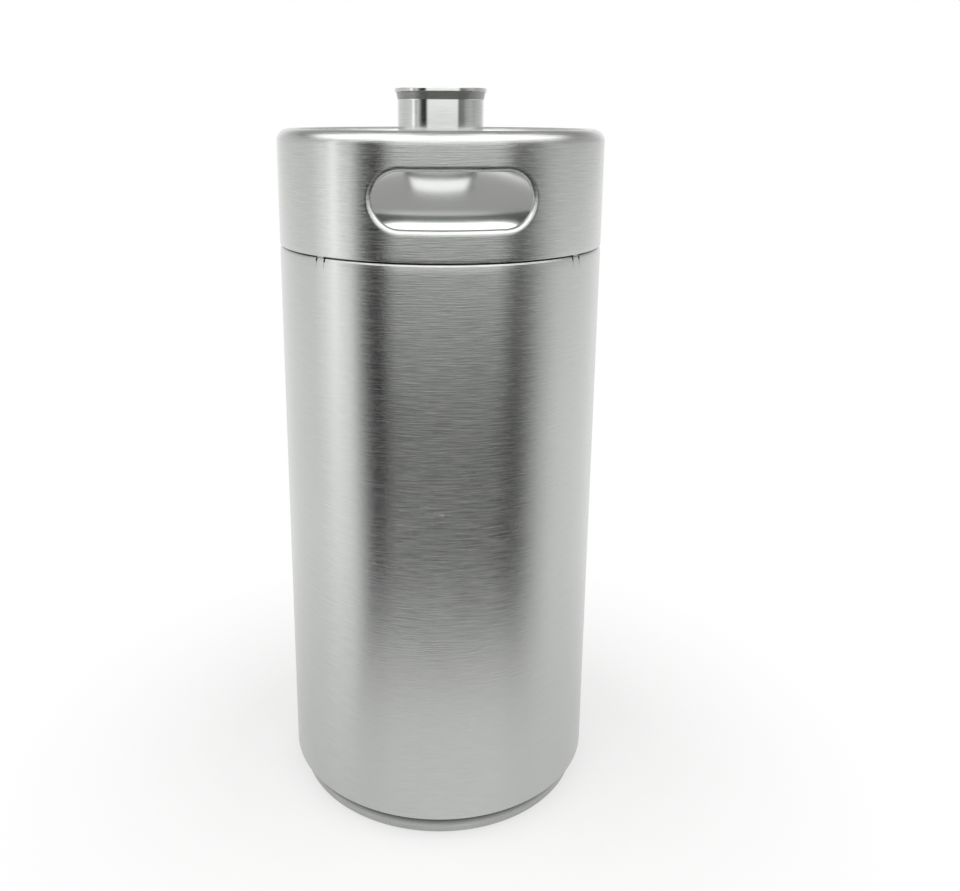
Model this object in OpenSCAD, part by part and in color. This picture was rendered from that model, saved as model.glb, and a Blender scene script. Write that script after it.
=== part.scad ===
// Stainless steel growler: a single-wall keg-shaped bottle with a handle collar and a screw cap.
// Millimetres. +Z is up, the origin is the middle of the foot on the floor, and the grip slots
// face -Y and +Y.

/* [Body] */
// Outside diameter of the body tube and the handle collar
body_d = 138; // [128:1:150]
// Thickness of the sheet that the body tube and the collar are rolled from
sheet = 0.8; // [0.7:0.05:1]
// Height of the body tube's lower edge above the floor
body_lift = 10; // [7:0.5:12]
// Length of the body tube
body_len = 239; // [150:1:320]
// Rounding of the body tube's top edge
edge_round = 0.5; // [0.2:0.1:0.6]

/* [Heads] */
// Thickness of the two pressed heads
head_t = 0.8; // [0.6:0.05:1]
// Gap between a head's skirt and the tube that it slides into
skirt_fit = 0.05; // [0.02:0.01:0.1]
// Crown radius of the top head
top_crown_r = 120; // [105:1:180]
// Knuckle radius of the top head
top_knuckle_r = 21; // [15:1:24]
// Length of the top head's skirt inside the body tube
top_skirt = 8; // [5:0.5:15]
// Height of the top head's skirt above the body tube, where the collar is seated on it
top_spigot = 1.2; // [1:0.1:3]
// Crown radius of the bottom head, which is dished up into the body
base_crown_r = 400; // [250:5:600]
// Knuckle radius of the bottom head
base_knuckle_r = 10; // [7:0.5:14]
// Length of the bottom head's skirt inside the body tube
base_skirt = 3; // [2:0.5:10]
// Height of the bead that welds each skirt's end to the body tube
seam_bead = 1.2; // [0.8:0.1:2]

/* [Foot ring] */
// How far the foot ring's outside stands in from the body's outside
foot_inset = 3.6; // [3:0.1:10]
// Thickness of the foot ring's strip
foot_t = 1; // [0.8:0.1:1.5]
// Width of the foot ring's face on the floor, bend included
foot_flange = 6; // [4:0.5:12]
// Outer radius of the bend at the foot ring's lower edge
foot_bend = 2.2; // [1.6:0.1:3]
// Height of the foot ring's upright part, bend included
foot_upright = 3.5; // [3.2:0.1:6]
// How far the foot ring leans in from there up to the body tube's lower edge
foot_lean = 1.3; // [0.5:0.1:2]
// Radius of the bead that welds the foot ring to the bottom head
foot_bead = 1.2; // [0.8:0.1:1.6]

/* [Handle collar] */
// Height of the collar from the seam to the top of its rolled rim
collar_h = 47.5; // [42:0.5:70]
// Open slit between the body tube and the collar
seam_gap = 0.5; // [0.3:0.1:0.8]
// Outer radius of the rolled rim
rim_r = 5; // [3:0.1:6]
// How far round the rim is rolled, in degrees
rim_roll = 210; // [180:5:240]
// Width of the clear opening of each grip slot
slot_w = 60.2; // [40:0.2:70]
// Height of the clear opening of each grip slot
slot_h = 20.9; // [16:0.1:22]
// Height of a slot's middle above the seam
slot_rise = 22.5; // [22:0.5:24]
// Outer bend radius of the lip that is turned in round each slot
lip_r = 1.8; // [1.4:0.1:2.2]
// Reach of the turned lip inward from the collar's outside
lip_reach = 3; // [2.6:0.1:3.2]

/* [Tack welds] */
// Angle from a slot's middle to the tack welds beside it
tack_angle = 46.5; // [40:0.5:60]
// Width of each tack weld
tack_w = 3.6; // [2:0.2:8]
// Width of the relief notch at each end of a tack weld
notch_w = 0.9; // [0.5:0.1:1.5]
// Depth of the relief notch in the body tube's top edge
notch_d = 1.3; // [0.8:0.1:2]

/* [Neck] */
// Bore of the neck
neck_bore_d = 26; // [20:0.5:27]
// Outside diameter of the neck's thread
thread_d = 31; // [30:0.5:33]
// Rise of the thread in one turn
thread_pitch = 3; // [2:0.5:4]
// Diameter of the flange that sits on the top head
neck_flange_d = 35; // [34:0.5:44]
// Thickness of the flange
neck_flange_t = 2.6; // [1.6:0.2:4]
// Height of the neck above the top head
neck_h = 25.6; // [22:0.2:30]
// Length of the neck's tail through the top head
neck_tail = 2.6; // [1.5:0.1:5]
// Play between the neck's tail and the hole in the top head
neck_hole_play = 0.05; // [0.02:0.01:0.2]
// Depth of the groove that ends the neck's thread
neck_relief = 0.9; // [0.4:0.1:1.2]
// Chamfer at the neck's mouth
mouth_chamfer = 0.5; // [0.3:0.1:0.8]
// Radius of the bead that welds the flange to the top head
neck_bead = 1; // [0.8:0.1:1.6]

/* [Cap] */
// Outside diameter of the cap's side
cap_d = 36.3; // [36.1:0.1:44]
// Depth of the cap's bore below its roof
cap_depth = 18.5; // [14:0.5:20]
// Thickness of the cap's roof at its middle
cap_roof = 4; // [3.6:0.1:6]
// Gap between the neck's thread and the cap's bore all round
cap_play = 0.3; // [0.2:0.05:0.5]
// How far the flare under the rim stands out from the cap's side
flare_out = 0.6; // [0.3:0.05:1.2]
// Height of the flare
flare_h = 3.1; // [2:0.1:4]
// How far the rim stands out from the flare
rim_out = 0.7; // [0.3:0.05:1.2]
// Height of the rim's upright edge
rim_edge = 1.5; // [0.8:0.1:2]
// How much higher the middle of the roof is than the rim
cap_crown = 0.4; // [0.2:0.05:0.8]
// Chamfer round the cap's lower edge
cap_chamfer = 0.6; // [0.3:0.1:0.9]

/* [Gasket] */
// Thickness of the silicone gasket
gasket_t = 2; // [1.5:0.1:3]
// Bore of the gasket
gasket_bore_d = 26.8; // [24:0.2:27]
// How far the groove that holds the gasket is cut into the cap's bore
gasket_groove = 0.5; // [0.3:0.05:0.7]
// Gap between the gasket and its groove
gasket_fit = 0.2; // [0.1:0.05:0.3]

/* [Hidden] */
$fn = 120;

// Radii
body_r = body_d / 2;
bore_r = body_r - sheet;
skirt_r = bore_r - skirt_fit;
foot_r = body_r - foot_inset;
thread_r = thread_d / 2;
cap_bore_r = thread_r + cap_play;
groove_r = cap_bore_r + gasket_groove;
neck_hole_r = thread_r + neck_hole_play;

// How the crown and knuckle arcs of a head are joined: millimetres and degrees
arc_hair = 0.001;
arc_lap = 3;

// Heights, from the floor up
base_line = body_lift + seam_bead + base_skirt;
seam_z = body_lift + body_len;
collar_z = seam_z + seam_gap;
crest_z = collar_z + collar_h;
slot_z = collar_z + slot_rise;
top_line = seam_z + top_spigot;
neck_seat = top_line + head_z(neck_hole_r, skirt_r, top_crown_r, top_knuckle_r);
mouth_z = neck_seat + neck_h;
roof_z = mouth_z + gasket_t;
cap_low = roof_z - cap_depth;
cap_top = roof_z + cap_roof;
rim_top = cap_top - cap_crown;
rim_low = rim_top - rim_edge;
flare_low = rim_low - flare_h;

// Shell colours
steel = [0.72, 0.73, 0.72];
polished = [0.80, 0.81, 0.80];
weld_grey = [0.60, 0.60, 0.58];
silicone = [0.90, 0.90, 0.87];

// Rise of a pressed head from its skirt to its apex
function head_rise(a, crown, knuckle) =
    crown - sqrt(pow(crown - knuckle, 2) - pow(a - knuckle, 2));

// Height of a pressed head's outer face above its skirt, at radius r from the axis
function head_z(r, a, crown, knuckle) =
    let (
        rise = head_rise(a, crown, knuckle),
        join_r = (a - knuckle) * crown / (crown - knuckle)
    )
    r < join_r
        ? rise - crown + sqrt(crown * crown - r * r)
        : sqrt(knuckle * knuckle - pow(r - a + knuckle, 2));

// Half section under a pressed head: a crown arc, a knuckle arc and the skirt below them.
// The two arcs lap and the crown is drawn a hair small, so that they meet in one clean corner.
module head_section(a, crown, knuckle, skirt) {
    rise = head_rise(a, crown, knuckle);
    knuckle_x = a - knuckle;
    lean = atan2(knuckle_x, crown - rise);
    far = crown + a;
    function tip(angle) = [knuckle_x + far * sin(angle), far * cos(angle)];
    intersection() {
        translate([0, rise - crown]) circle(crown - arc_hair, $fn = 256);
        polygon([[0, 0], [knuckle_x, 0], tip(lean), [0, far]]);
    }
    intersection() {
        translate([knuckle_x, 0]) circle(knuckle);
        polygon([[knuckle_x, 0], [far, 0], [far, far], tip(lean - arc_lap)]);
    }
    translate([0, -skirt]) square([a, skirt]);
}

// A pressed head: its outer section less the same section one sheet further in
module pressed_head(a, crown, knuckle, skirt) {
    rotate_extrude()
        difference() {
            head_section(a, crown, knuckle, skirt);
            head_section(a - head_t, crown - head_t, knuckle - head_t, skirt);
        }
}

// Wall of a ring between two heights, as a half section
module wall_section(outer, thick, low, high) {
    translate([outer - thick, low]) square([thick, high - low]);
}

// Rounded corner to be cut from a section whose outer top corner is at the origin
module corner_cut(r) {
    difference() {
        translate([-r, -r]) square(2 * r);
        translate([-r, -r]) circle(r);
    }
}

// One copy at each tack weld, beside both slots
module at_tacks() {
    for (side = [0, 180], turn = [-1, 1])
        rotate(side + turn * tack_angle - 90) children();
}

// Rolled tube that holds the drink, with relief notches beside the tack welds
module body_tube() {
    color(steel)
        difference() {
            rotate_extrude()
                difference() {
                    wall_section(body_r, sheet, body_lift, seam_z);
                    translate([body_r, seam_z]) corner_cut(edge_round);
                }
            at_tacks()
                for (end = [-1, 1])
                    translate([body_r - sheet / 2, end * (tack_w + notch_w) / 2, seam_z])
                        cube([4 * sheet, notch_w, 2 * notch_d], center = true);
        }
}

// Domed head that closes the body tube and carries the neck
module top_head() {
    color(polished)
        difference() {
            translate([0, 0, top_line])
                pressed_head(skirt_r, top_crown_r, top_knuckle_r, top_skirt + top_spigot);
            translate([0, 0, top_line]) cylinder(h = neck_h + top_crown_r, r = neck_hole_r);
        }
}

// Bottom head, dished up into the body like the punt of a bottle
module bottom_head() {
    color(polished)
        translate([0, 0, base_line])
            pressed_head(skirt_r, base_crown_r, base_knuckle_r, base_skirt);
}

// Space under the bottom head as a half section down to the floor
module under_base_section() {
    translate([0, base_line])
        head_section(skirt_r - head_t, base_crown_r - head_t, base_knuckle_r - head_t, base_line);
}

// Ring that the growler stands on: a strip bent in at the floor, whose wall leans in above that
module foot_ring() {
    lean_top = [foot_r - foot_lean, body_lift];
    color(steel)
        rotate_extrude()
            intersection() {
                difference() {
                    translate([foot_r - foot_flange, 0]) square([foot_flange, seam_z]);
                    translate([0, foot_t]) square([foot_r - foot_bend, seam_z]);
                    polygon([
                        [0, foot_bend], [foot_r - foot_t, foot_bend],
                        [foot_r - foot_t, foot_upright], lean_top - [foot_t, 0],
                        [lean_top[0] - foot_t, seam_z], [0, seam_z]
                    ]);
                    polygon([
                        [foot_r, foot_upright], lean_top, [lean_top[0], seam_z],
                        [body_r, seam_z], [body_r, foot_upright]
                    ]);
                    translate([foot_r - foot_bend, foot_bend]) circle(foot_bend - foot_t);
                    translate([foot_r, 0]) mirror([0, 1]) corner_cut(foot_bend);
                }
                under_base_section();
            }
}

// Stations round a slot's outline, seen square on: [x, height, angle of the outward normal]
slot_half = (slot_w - slot_h) / 2;
outline_r = slot_h / 2 + lip_r;
arc_steps = 16;
line_steps = 8;
function arc_stations(x, start) = [
    for (i = [0 : arc_steps])
        let (a = start + 180 * i / arc_steps)
        [x + outline_r * cos(a), outline_r * sin(a), a]
];
function line_stations(from_x, z, a) = [
    for (i = [1 : line_steps - 1]) [from_x * (1 - 2 * i / line_steps), z, a]
];
slot_path = concat(
    arc_stations(slot_half, -90), line_stations(slot_half, outline_r, 90),
    arc_stations(-slot_half, 90), line_stations(-slot_half, -outline_r, 270)
);

// Section of the turned lip: [reach towards the slot's middle, depth below the outside].
// Its root is buried in the wall, whose cut edge meets the bend just after the bend starts.
lip_root = sheet;
lip_edge = 0.2 * lip_r;
bend_inner = lip_r - sheet;
lip_section = concat(
    [[-lip_root, 0.25 * sheet], [0.5 * lip_edge, 0.1 * sheet]],
    [for (a = [22.5 : 22.5 : 90]) [lip_r * sin(a), lip_r * (1 - cos(a))]],
    [[lip_r, lip_reach], [bend_inner, lip_reach]],
    [for (a = [90 : -30 : 30]) [bend_inner * sin(a), sheet + bend_inner * (1 - cos(a))]],
    [[0.5 * lip_edge, 0.9 * sheet], [-lip_root, 0.75 * sheet]]
);

// Point of the lip: the section is carried round the outline and laid on the collar's curve
function lip_point(station, point) =
    let (
        x = station[0] - point[0] * cos(station[2]),
        z = station[1] - point[0] * sin(station[2]),
        r = body_r - point[1]
    )
    [x, -sqrt(r * r - x * x), z];

// Lip of the front slot, one closed loop of sheet that bends inward
module slot_lip() {
    loops = len(slot_path);
    ring = len(lip_section);
    polyhedron(
        points = [for (s = slot_path) for (p = lip_section) lip_point(s, p)],
        faces = [
            for (i = [0 : loops - 1]) for (j = [0 : ring - 1])
                let (
                    a = i * ring + j,
                    b = i * ring + (j + 1) % ring,
                    c = (i + 1) % loops * ring + (j + 1) % ring,
                    d = (i + 1) % loops * ring + j
                )
                each [[a, b, c], [a, c, d]]
        ]
    );
}

// Stadium-shaped hole through the front wall, up to the lip's bend
module slot_hole() {
    hole_r = outline_r - lip_edge;
    rotate([90, 0, 0])
        linear_extrude(body_d) {
            square([2 * slot_half, 2 * hole_r], center = true);
            for (side = [-1, 1]) translate([side * slot_half, 0]) circle(hole_r);
        }
}

// Half section of the collar: a straight wall and a rim rolled inward over the top
module collar_section() {
    far = 3 * rim_r;
    difference() {
        wall_section(body_r, sheet, collar_z, crest_z - rim_r);
        translate([body_r, collar_z]) mirror([0, 1]) corner_cut(edge_round / 2);
    }
    translate([body_r - rim_r, crest_z - rim_r])
        intersection() {
            difference() {
                circle(rim_r);
                circle(rim_r - sheet);
            }
            polygon([[0, 0], [far, 0], [far, far], [-far, far],
                far * [cos(rim_roll), sin(rim_roll)]]);
        }
}

// Collar with a rolled rim and two grip slots, each with a turned lip
module handle_collar() {
    color(steel) {
        difference() {
            rotate_extrude() collar_section();
            for (side = [0, 180]) rotate(side) translate([0, 0, slot_z]) slot_hole();
        }
        for (side = [0, 180]) rotate(side) translate([0, 0, slot_z]) slot_lip();
    }
}

// Turned neck: tail, flange, thread relief and the plain cylinder that carries the thread
module neck() {
    bore = neck_bore_d / 2;
    flange = neck_flange_d / 2;
    flange_top = neck_seat + neck_flange_t;
    relief = thread_r - neck_relief;
    color(polished)
        rotate_extrude()
            polygon([
                [bore, neck_seat - neck_tail], [thread_r, neck_seat - neck_tail],
                [thread_r, neck_seat], [flange, neck_seat],
                [flange, flange_top - mouth_chamfer], [flange - mouth_chamfer, flange_top],
                [relief, flange_top], [relief, flange_top + thread_pitch],
                [thread_r, flange_top + thread_pitch + neck_relief],
                [thread_r, mouth_z - mouth_chamfer], [thread_r - mouth_chamfer, mouth_z],
                [bore + mouth_chamfer, mouth_z], [bore, mouth_z - mouth_chamfer]
            ]);
}

// Half section of the cap's outside: a straight side, a flare and a rim under a crowned roof
module cap_outline() {
    side = cap_d / 2;
    rim = side + flare_out + rim_out;
    crown_r = (rim * rim + cap_crown * cap_crown) / (2 * cap_crown);
    intersection() {
        polygon([
            [0, cap_low], [side - cap_chamfer, cap_low], [side, cap_low + cap_chamfer],
            [side, flare_low], [side + flare_out, rim_low - rim_out / 2], [rim, rim_low],
            [rim, cap_top], [0, cap_top]
        ]);
        translate([0, cap_top - crown_r]) circle(crown_r, $fn = 256);
    }
}

// Turned screw cap, bored for the neck and grooved for its gasket
module cap() {
    lead_in = cap_bore_r + cap_chamfer;
    color(steel)
        rotate_extrude()
            difference() {
                cap_outline();
                translate([0, cap_low - 1]) square([cap_bore_r, cap_depth + 1]);
                translate([0, mouth_z - gasket_fit]) square([groove_r, gasket_t + gasket_fit]);
                polygon([
                    [0, cap_low - 1], [lead_in + 1, cap_low - 1],
                    [cap_bore_r, cap_low + cap_chamfer], [0, cap_low + cap_chamfer]
                ]);
            }
}

// Flat silicone ring between the neck's mouth and the cap's roof
module cap_gasket() {
    color(silicone)
        rotate_extrude()
            wall_section(groove_r - gasket_fit, groove_r - gasket_fit - gasket_bore_d / 2,
                mouth_z, roof_z);
}

// Fillet weld in the corner between a skirt's end and the body tube
module skirt_weld(skirt_end, toe) {
    color(weld_grey)
        rotate_extrude()
            polygon([[bore_r, skirt_end], [skirt_r - head_t, skirt_end], [bore_r, toe]]);
}

// Weld inside the body tube along the top head's skirt
module top_head_weld() {
    skirt_end = seam_z - top_skirt;
    skirt_weld(skirt_end, skirt_end - seam_bead);
}

// Weld under the bottom head's skirt, at the body tube's lower edge
module bottom_head_weld() {
    skirt_weld(body_lift + seam_bead, body_lift);
}

// Weld between the foot ring's top and the underside of the bottom head
module foot_ring_weld() {
    inner = foot_r - foot_lean - foot_t;
    rise = head_z(inner, skirt_r - head_t, base_crown_r - head_t, base_knuckle_r - head_t);
    color(weld_grey)
        rotate_extrude()
            intersection() {
                translate([inner, base_line + rise]) circle(foot_bead);
                square([inner, seam_z]);
                under_base_section();
            }
}

// Weld round the neck's flange, in the wedge between the flange and the domed head
module neck_weld() {
    flange = neck_flange_d / 2;
    rise = head_z(flange, skirt_r, top_crown_r, top_knuckle_r);
    color(weld_grey)
        rotate_extrude()
            difference() {
                translate([flange, top_line + rise]) circle(neck_bead);
                translate([0, top_line]) head_section(skirt_r, top_crown_r, top_knuckle_r, top_skirt);
                translate([0, neck_seat]) square([flange, neck_h]);
            }
}

// Four tack welds that bridge the slit between the body tube and the collar
module collar_tack_welds() {
    color(weld_grey)
        intersection() {
            rotate_extrude() wall_section(body_r, sheet, seam_z, collar_z);
            at_tacks()
                translate([body_r, 0, seam_z]) cube([8 * sheet, tack_w, 4 * seam_gap], center = true);
        }
}

body_tube();
top_head();
bottom_head();
foot_ring();
handle_collar();
neck();
cap();
cap_gasket();
top_head_weld();
bottom_head_weld();
foot_ring_weld();
neck_weld();
collar_tack_welds();
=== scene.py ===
"""Stainless steel growler: brushed shell, rolled collar, polished head and a screw cap."""

import math

import bmesh
import bpy
import numpy as np
from mathutils import Matrix, Vector


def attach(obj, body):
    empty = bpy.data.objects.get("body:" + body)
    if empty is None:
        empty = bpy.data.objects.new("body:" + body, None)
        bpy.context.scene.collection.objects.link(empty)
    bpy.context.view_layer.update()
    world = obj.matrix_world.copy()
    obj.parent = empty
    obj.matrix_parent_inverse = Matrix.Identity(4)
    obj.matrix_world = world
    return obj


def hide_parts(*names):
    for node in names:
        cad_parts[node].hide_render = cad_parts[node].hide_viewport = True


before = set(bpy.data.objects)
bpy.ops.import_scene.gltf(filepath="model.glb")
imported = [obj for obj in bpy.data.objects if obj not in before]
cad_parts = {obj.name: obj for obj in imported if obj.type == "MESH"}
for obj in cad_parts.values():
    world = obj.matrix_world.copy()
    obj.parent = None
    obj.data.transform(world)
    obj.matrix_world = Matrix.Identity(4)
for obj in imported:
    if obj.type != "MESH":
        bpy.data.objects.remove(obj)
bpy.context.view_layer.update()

# One millimetre in Blender's metres
MM = 0.001

# Driving sizes in millimetres and degrees, as in the CAD

# Tube and collar: outside radius, sheet, lift off the floor, length, slit between them, height
BODY_R, SHEET = 69.0, 0.8
BODY_LOW, BODY_LEN, SEAM_GAP, COLLAR_H = 10.0, 239.0, 0.5, 47.5
# Top edge of the tube: its rounding, and how far it draws in over its last stretch
EDGE, DRAW_IN, DRAW_H = 0.75, 0.16, 4.0
# Rolled rim of the collar: outer radius and degrees of roll
RIM_R, RIM_ROLL = 5.0, 210.0
# Clear opening of a grip slot, its middle above the collar's lower edge, and its turned-in lip
SLOT_W, SLOT_H, SLOT_RISE = 60.2, 20.9, 22.5
LIP_R, LIP_WIDE, LIP_REACH = 1.8, 2.3, 3.0
# Tack welds and the relief notches beside them
TACK_ANGLE, TACK_W, NOTCH_W, NOTCH_D = 46.5, 3.6, 0.9, 1.3
# Heads: thickness, play in the tube, bead at the skirt's end; then the top one and the bottom one
HEAD_T, SKIRT_FIT, SEAM_BEAD = 0.8, 0.05, 1.2
TOP_CROWN, TOP_KNUCKLE, TOP_SPIGOT, TOP_SKIRT = 120.0, 21.0, 1.2, 8.0
BASE_CROWN, BASE_KNUCKLE, BASE_SKIRT = 400.0, 10.0, 3.0
# Foot ring and the bead that welds it to the bottom head
FOOT_INSET, FOOT_T, FOOT_FLANGE, FOOT_BEND = 3.6, 1.0, 6.0, 2.2
FOOT_UPRIGHT, FOOT_LEAN, FOOT_BEAD = 3.5, 1.3, 1.2
# Neck: thread, bore, height, tail, relief groove, play in the dome's hole, flange and its bead
THREAD_R, PITCH, BORE_NECK, NECK_H = 15.5, 3.0, 13.0, 25.6
NECK_TAIL, NECK_RELIEF, NECK_PLAY = 2.6, 0.9, 0.05
FLANGE_R, FLANGE_T, NECK_BEAD = 17.5, 2.6, 1.0
# Cap: side, bore's depth, roof, running gap, crown of the top, flare and rim
CAP_R, CAP_DEPTH, CAP_ROOF, CAP_PLAY, CAP_CROWN = 18.15, 18.5, 4.0, 0.3, 0.4
FLARE_OUT, FLARE_H, RIM_OUT, RIM_EDGE = 0.6, 3.1, 0.7, 1.5
# Gasket and the groove that holds it
GASKET_T, GASKET_BORE, GASKET_GROOVE, GASKET_FIT = 2.0, 13.4, 0.5, 0.2

# Radii and places that follow from them

BORE_R = BODY_R - SHEET
SKIRT_R = BORE_R - SKIRT_FIT
FOOT_R = BODY_R - FOOT_INSET
CAP_BORE = THREAD_R + CAP_PLAY
GROOVE_R = CAP_BORE + GASKET_GROOVE
GASKET_R = GROOVE_R - GASKET_FIT
SLOT_HALF = (SLOT_W - SLOT_H) / 2
OUTLINE_R = SLOT_H / 2 + LIP_WIDE
# Middles of the tack welds, in degrees from -Y
TACK_MIDDLES = [side + turn * TACK_ANGLE for side in (0, 180) for turn in (-1, 1)]
# Heights
SEAM_Z = BODY_LOW + BODY_LEN
COLLAR_Z = SEAM_Z + SEAM_GAP
CREST_Z = COLLAR_Z + COLLAR_H
SLOT_Z = COLLAR_Z + SLOT_RISE
TOP_LINE = SEAM_Z + TOP_SPIGOT
BASE_LINE = BODY_LOW + SEAM_BEAD + BASE_SKIRT


def crown_centre(radius, line, crown, knuckle):
    """Height of the centre of a pressed head's crown, which runs smoothly into its knuckle."""
    return line - math.sqrt((crown - knuckle) ** 2 - (radius - knuckle) ** 2)


def dome_z(r):
    """Height of the top head's outer face at radius r."""
    return crown_centre(SKIRT_R, TOP_LINE, TOP_CROWN, TOP_KNUCKLE) + math.sqrt(TOP_CROWN ** 2 - r * r)


NECK_SEAT = dome_z(THREAD_R + NECK_PLAY)
MOUTH_Z = NECK_SEAT + NECK_H
ROOF_Z = MOUTH_Z + GASKET_T
CAP_LOW, CAP_TOP = ROOF_Z - CAP_DEPTH, ROOF_Z + CAP_ROOF
RIM_TOP = CAP_TOP - CAP_CROWN
RIM_LOW = RIM_TOP - RIM_EDGE
FLARE_LOW = RIM_LOW - FLARE_H

# Mesh helpers


class Shape:
    """Points, in millimetres, and faces gathered from grids."""

    def __init__(self):
        self.verts, self.faces = [], []

    def grid(self, rows, close_u=False, close_v=False):
        """rows[i][j] are points; neighbours are joined by quads, and either way may close."""
        n, m, base = len(rows), len(rows[0]), len(self.verts)
        for row in rows:
            self.verts.extend(row)
        for i in range(n if close_u else n - 1):
            for j in range(m if close_v else m - 1):
                a = base + i * m + j
                b = base + i * m + (j + 1) % m
                c = base + (i + 1) % n * m + (j + 1) % m
                d = base + (i + 1) % n * m + j
                self.faces.append((a, b, c, d))

    def to_scene(self, name, materials):
        """A new object of these points and faces, in metres."""
        mesh = bpy.data.meshes.new(name)
        mesh.from_pydata([tuple(c * MM for c in v) for v in self.verts], [], self.faces)
        for material in materials:
            mesh.materials.append(material)
        thing = bpy.data.objects.new(name, mesh)
        bpy.context.scene.collection.objects.link(thing)
        return thing


def mesh_piece(name, shape, node, materials, body="vessel", sharp=32.0, weld=0.004, choose=None):
    """A smooth-shaded piece that stands for one CAD node. Points closer than weld are joined, and
    edges of more than sharp degrees stay sharp. choose(face) gives the place of its material."""
    piece = shape.to_scene(name, materials)
    mesh = piece.data
    bm = bmesh.new()
    bm.from_mesh(mesh)
    bmesh.ops.remove_doubles(bm, verts=bm.verts, dist=weld * MM)
    bmesh.ops.dissolve_degenerate(bm, edges=bm.edges, dist=0.0005 * MM)
    bmesh.ops.recalc_face_normals(bm, faces=bm.faces)
    bm.to_mesh(mesh)
    bm.free()
    for face in mesh.polygons:
        face.use_smooth = True
        if choose:
            face.material_index = choose(face)
    mesh.set_sharp_from_angle(angle=math.radians(sharp))
    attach(piece, body)
    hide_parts(node)


def middle_of(face):
    """Distance of a face's middle from the axis, and its height, in millimetres."""
    return math.hypot(face.center.x, face.center.y) / MM, face.center.z / MM


def sheet_side(face):
    """1 on a face that looks to the axis, 2 on the hollow side of the rolled rim, else 0. Both kinds get a
    lighter steel than the outside: on 1 partly a rough mill finish and partly painted light, on 2 painted
    light in the roll's shaded hollow.
    """
    r, z = middle_of(face)
    if math.hypot(r - BODY_R + RIM_R, z - CREST_Z + RIM_R) < RIM_R - 0.5 * SHEET:
        return 2
    out = Vector((face.center.x, face.center.y, 0.0)).normalized()
    return 1 if r < BODY_R - 0.5 * SHEET and face.normal.dot(out) < -0.3 else 0


def flare_side(face):
    """1 on the cone under the cap's rim, which gets a darker steel as painted shade, else 0."""
    r, z = middle_of(face)
    return int(r > CAP_R - 0.3 and FLARE_LOW < z < RIM_LOW)


def clamp(v):
    """v, kept between 0 and 1."""
    return min(1.0, max(0.0, v))


def arc(cx, cz, r, start, end, steps):
    """Points on a circle, in degrees, both ends included."""
    return [(cx + r * math.cos(math.radians(a)), cz + r * math.sin(math.radians(a)))
            for a in np.linspace(start, end, steps + 1)]


def turned_to(section, t):
    """The points of a section, given as (r, z), at angle t from +X."""
    return [(r * math.cos(t), r * math.sin(t), z) for r, z in section]


def on_wall(angle, r, z):
    """A point at an angle in degrees from -Y, towards +X."""
    t = math.radians(angle)
    return r * math.sin(t), -r * math.cos(t), z


def swept(section_at, steps):
    """A surface all round the axis; section_at(t) is its closed outline, as (r, z), at angle t."""
    shape = Shape()
    angles = [2 * math.pi * i / steps for i in range(steps)]
    shape.grid([turned_to(section_at(t), t) for t in angles], close_u=True, close_v=True)
    return shape


def ring_piece(name, section, node, material, steps=360, shift=None, body="vessel"):
    """A piece turned from one closed section. shift(t, r, z) may move each point."""

    def section_at(t):
        return [shift(t, r, z) for r, z in section] if shift else section

    mesh_piece(name, swept(section_at, steps), node, [material], body)


# Materials


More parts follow.
